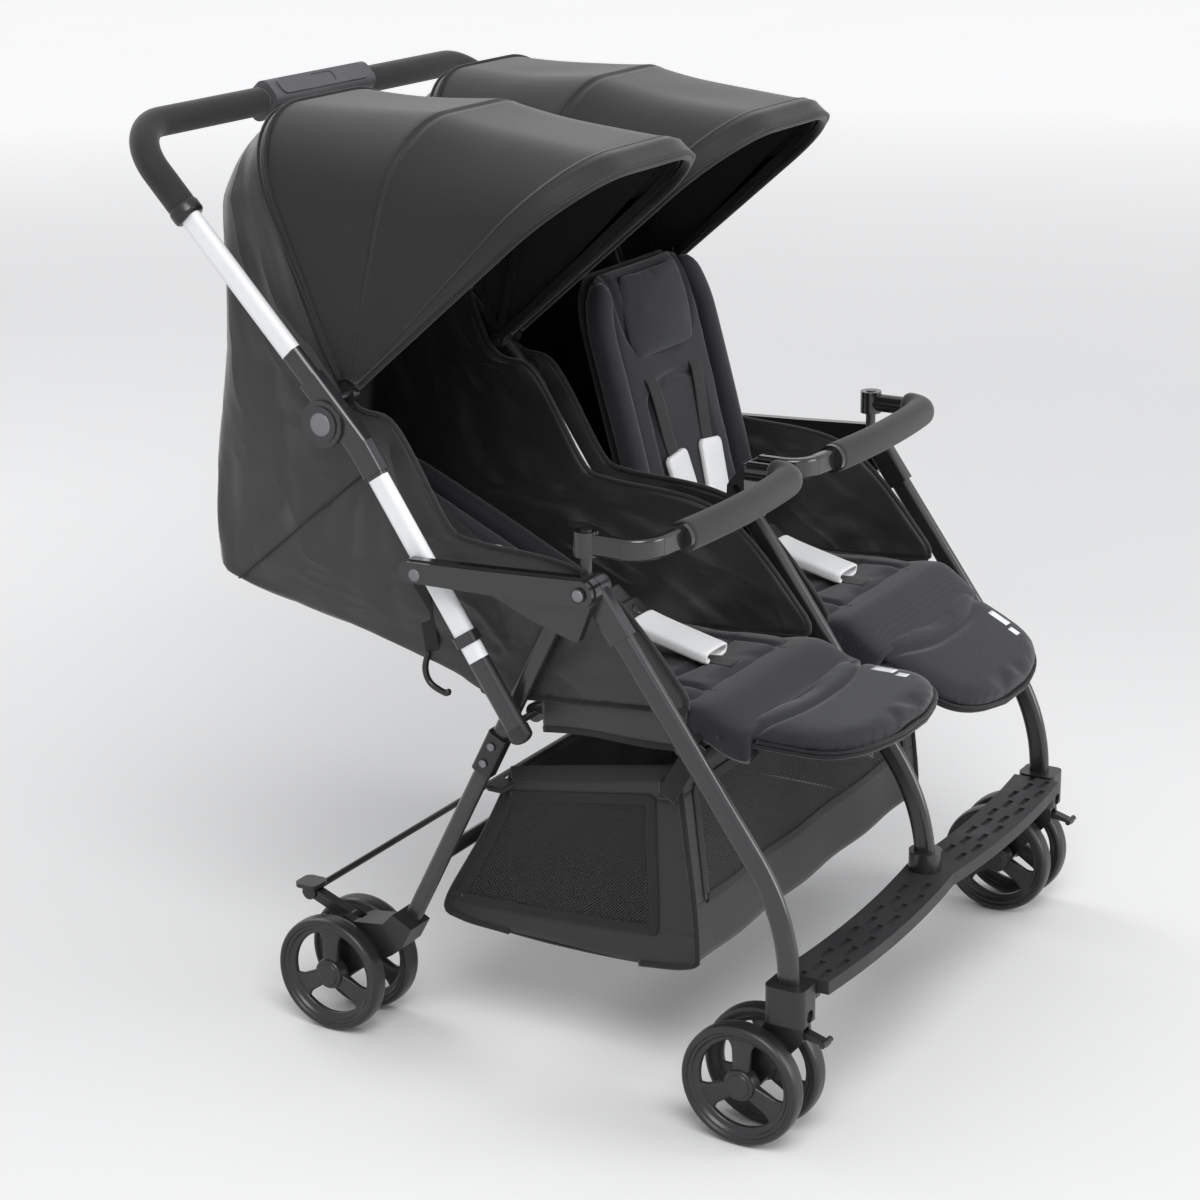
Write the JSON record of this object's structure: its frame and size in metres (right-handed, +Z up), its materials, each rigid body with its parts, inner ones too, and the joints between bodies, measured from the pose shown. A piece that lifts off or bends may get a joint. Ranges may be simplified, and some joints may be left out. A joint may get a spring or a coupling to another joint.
{
  "type": "side-by-side double stroller",
  "caption": "Side-by-side double stroller with folding tube frame, reclining padded seats, folding canopies, swing-away bumper bars, storage basket, footplate and swivel casters.",
  "frame": {"origin": "middle of the bounding box at floor level", "axes": "+Z up, +X to the right seen from the front, the stroller faces -Y"},
  "size_m": [0.7672, 0.9024, 1.0621],
  "materials": {
    "frame_grey": "satin grey coat",
    "tube_white": "satin white coat",
    "plastic_black": "gloss moulded",
    "plastic_grey": "fine grain",
    "wheel": "soft foam rubber on a moulded hub",
    "cloth_black": "woven",
    "pad_slate": "quilted weave",
    "strap_white": "soft pads and webbing",
    "foam_grey": "closed foam"
  },
  "bodies": {
    "front_frame": {"front_leg_left": "frame_grey", "front_leg_right": "frame_grey", "centre_front_leg": "frame_grey", "footplate": "plastic_grey", "caster_housings": "plastic_black", "hinge_plates": "plastic_black", "basket": "cloth_black"},
    "armrests": {"armrest_left": "plastic_black", "armrest_right": "plastic_black"},
    "push_frame": {"push_tube_left": "tube_white", "push_tube_right": "tube_white", "centre_push_tube": "tube_white", "handle_grip": "foam_grey", "handle_console": "plastic_grey", "seat_shell_left": "cloth_black", "seat_shell_right": "cloth_black", "recline_straps": "cloth_black", "canopy_rear_bows": "plastic_black", "canopy_cloth_left": "cloth_black", "canopy_cloth_right": "cloth_black"},
    "fold_trigger": {"fold_trigger": "plastic_black"},
    "seat_frame": {"seat_frames": "frame_grey", "seat_pad_left": "pad_slate", "seat_pad_right": "pad_slate", "crotch_strap_left": "strap_white", "crotch_strap_right": "strap_white"},
    "rear_frame": {"rear_leg_left": "frame_grey", "rear_leg_right": "frame_grey", "rear_cross_tube": "frame_grey", "rear_housings": "plastic_black", "knee_brackets": "plastic_black"},
    "brake": {"brake_bar": "plastic_black"},
    "caster_left": {"caster_fork_left": "plastic_black"},
    "swivel_lock_left": {"swivel_lock_left": "plastic_black"},
    "front_wheel_left_outer": {"front_wheel_left_outer": "wheel"},
    "rear_wheel_left_outer": {"rear_wheel_left_outer": "wheel"},
    "front_wheel_left_inner": {"front_wheel_left_inner": "wheel"},
    "rear_wheel_left_inner": {"rear_wheel_left_inner": "wheel"},
    "canopy_mid_left": {"canopy_mid_bow_left": "plastic_black"},
    "canopy_front_left": {"canopy_front_bow_left": "plastic_black"},
    "legrest_left": {"legrest_left": "pad_slate"},
    "backrest_left": {"backrest_left": "pad_slate", "harness_left": "strap_white"},
    "bumper_left": {"bumper_arms_left": "plastic_black", "bumper_pad_left": "foam_grey"},
    "caster_right": {"caster_fork_right": "plastic_black"},
    "swivel_lock_right": {"swivel_lock_right": "plastic_black"},
    "front_wheel_right_outer": {"front_wheel_right_outer": "wheel"},
    "rear_wheel_right_outer": {"rear_wheel_right_outer": "wheel"},
    "front_wheel_right_inner": {"front_wheel_right_inner": "wheel"},
    "rear_wheel_right_inner": {"rear_wheel_right_inner": "wheel"},
    "canopy_mid_right": {"canopy_mid_bow_right": "plastic_black"},
    "canopy_front_right": {"canopy_front_bow_right": "plastic_black"},
    "legrest_right": {"legrest_right": "pad_slate"},
    "backrest_right": {"backrest_right": "pad_slate", "harness_right": "strap_white"},
    "bumper_right": {"bumper_arms_right": "plastic_black", "bumper_pad_right": "foam_grey"}
  },
  "joints": [
    {"name": "fold", "type": "hinge", "parent": "front_frame", "child": "armrests", "pos_m": [0, -0.15951, 0.58], "axis": [1, 0, 0], "range_deg": [-92, 0], "deforming": ["seat_shell_left", "seat_shell_right", "basket", "seat_pad_left", "seat_pad_right", "crotch_strap_left", "crotch_strap_right", "recline_straps", "harness_left", "harness_right"]},
    {"name": "push_level", "type": "hinge", "parent": "armrests", "child": "push_frame", "pos_m": [0, 0.04549, 0.572], "axis": [1, 0, 0], "range_deg": [0, 92]},
    {"name": "seat_tilt", "type": "hinge", "parent": "front_frame", "child": "seat_frame", "pos_m": [0, -0.2642, 0.42001], "axis": [1, 0, 0], "range_deg": [-92, 0]},
    {"name": "rear_fold", "type": "hinge", "parent": "front_frame", "child": "rear_frame", "pos_m": [0, -0.10751, 0.545], "axis": [1, 0, 0], "range_deg": [-42, 0]},
    {"name": "trigger_pull", "type": "slide", "parent": "push_frame", "child": "fold_trigger", "axis": [0, 0.6807, 0.7325], "range_m": [0, 0.006], "stiffness_N_per_m": 600, "springref_m": -0.002},
    {"name": "caster_swivel_left", "type": "hinge", "parent": "front_frame", "child": "caster_left", "pos_m": [-0.345, -0.39033, 0.142], "axis": [0, 0, 1], "continuous": true},
    {"name": "swivel_lock_left", "type": "hinge", "parent": "caster_left", "child": "swivel_lock_left", "pos_m": [-0.345, -0.40533, 0.128], "axis": [1, 0, 0], "range_deg": [0, 18]},
    {"name": "front_spin_left_outer", "type": "hinge", "parent": "caster_left", "child": "front_wheel_left_outer", "pos_m": [-0.371, -0.34933, 0.0687], "axis": [1, 0, 0], "continuous": true},
    {"name": "rear_spin_left_outer", "type": "hinge", "parent": "rear_frame", "child": "rear_wheel_left_outer", "pos_m": [-0.358, 0.1898, 0.0687], "axis": [1, 0, 0], "continuous": true},
    {"name": "front_spin_left_inner", "type": "hinge", "parent": "caster_left", "child": "front_wheel_left_inner", "pos_m": [-0.319, -0.34933, 0.0687], "axis": [1, 0, 0], "continuous": true},
    {"name": "rear_spin_left_inner", "type": "hinge", "parent": "rear_frame", "child": "rear_wheel_left_inner", "pos_m": [-0.292, 0.1898, 0.0687], "axis": [1, 0, 0], "continuous": true},
    {"name": "canopy_left", "type": "hinge", "parent": "push_frame", "child": "canopy_mid_left", "pos_m": [-0.166, 0.16016, 0.74643], "axis": [-1, 0, 0], "range_deg": [0, 31], "deforming": ["canopy_cloth_left"]},
    {"name": "canopy_front_left", "type": "hinge", "parent": "canopy_mid_left", "child": "canopy_front_left", "pos_m": [-0.166, 0.16016, 0.74643], "axis": [-1, 0, 0], "range_deg": [0, 27]},
    {"name": "legrest_left", "type": "hinge", "parent": "seat_frame", "child": "legrest_left", "pos_m": [-0.166, -0.2882, 0.42501], "axis": [1, 0, 0], "range_deg": [0, 55]},
    {"name": "recline_left", "type": "hinge", "parent": "push_frame", "child": "backrest_left", "pos_m": [-0.166, -0.01751, 0.437], "axis": [1, 0, 0], "range_deg": [0, 50]},
    {"name": "bumper_left", "type": "hinge", "parent": "front_frame", "child": "bumper_left", "pos_m": [-0.345, -0.15251, 0.628], "axis": [0, 0, -1], "range_deg": [0, 95]},
    {"name": "caster_swivel_right", "type": "hinge", "parent": "front_frame", "child": "caster_right", "pos_m": [0.345, -0.39033, 0.142], "axis": [0, 0, 1], "continuous": true},
    {"name": "swivel_lock_right", "type": "hinge", "parent": "caster_right", "child": "swivel_lock_right", "pos_m": [0.345, -0.40533, 0.128], "axis": [1, 0, 0], "range_deg": [0, 18]},
    {"name": "front_spin_right_outer", "type": "hinge", "parent": "caster_right", "child": "front_wheel_right_outer", "pos_m": [0.371, -0.34933, 0.0687], "axis": [1, 0, 0], "continuous": true},
    {"name": "rear_spin_right_outer", "type": "hinge", "parent": "rear_frame", "child": "rear_wheel_right_outer", "pos_m": [0.358, 0.1898, 0.0687], "axis": [1, 0, 0], "continuous": true},
    {"name": "front_spin_right_inner", "type": "hinge", "parent": "caster_right", "child": "front_wheel_right_inner", "pos_m": [0.319, -0.34933, 0.0687], "axis": [1, 0, 0], "continuous": true},
    {"name": "rear_spin_right_inner", "type": "hinge", "parent": "rear_frame", "child": "rear_wheel_right_inner", "pos_m": [0.292, 0.1898, 0.0687], "axis": [1, 0, 0], "continuous": true},
    {"name": "canopy_right", "type": "hinge", "parent": "push_frame", "child": "canopy_mid_right", "pos_m": [0.166, 0.16016, 0.74643], "axis": [-1, 0, 0], "range_deg": [0, 31], "deforming": ["canopy_cloth_right"]},
    {"name": "canopy_front_right", "type": "hinge", "parent": "canopy_mid_right", "child": "canopy_front_right", "pos_m": [0.166, 0.16016, 0.74643], "axis": [-1, 0, 0], "range_deg": [0, 27]},
    {"name": "legrest_right", "type": "hinge", "parent": "seat_frame", "child": "legrest_right", "pos_m": [0.166, -0.2882, 0.42501], "axis": [1, 0, 0], "range_deg": [-27, 28]},
    {"name": "recline_right", "type": "hinge", "parent": "push_frame", "child": "backrest_right", "pos_m": [0.166, -0.01751, 0.437], "axis": [-1, 0, 0], "range_deg": [0, 50]},
    {"name": "bumper_right", "type": "hinge", "parent": "front_frame", "child": "bumper_right", "pos_m": [0.345, -0.15251, 0.628], "axis": [0, 0, 1], "range_deg": [0, 95]},
    {"name": "brake_pedal", "type": "hinge", "parent": "rear_frame", "child": "brake", "pos_m": [0, 0.1798, 0.1267], "axis": [-1, 0, 0], "range_deg": [0, 16]}
  ],
  "couplings": [
    {"joint": "push_level", "follows": "fold", "ratio": -1},
    {"joint": "seat_tilt", "follows": "fold", "ratio": 1},
    {"joint": "rear_fold", "follows": "fold", "ratio": 0.4565},
    {"joint": "canopy_front_left", "follows": "canopy_left", "ratio": 0.8709},
    {"joint": "canopy_front_right", "follows": "canopy_right", "ratio": 0.8709}
  ]
}
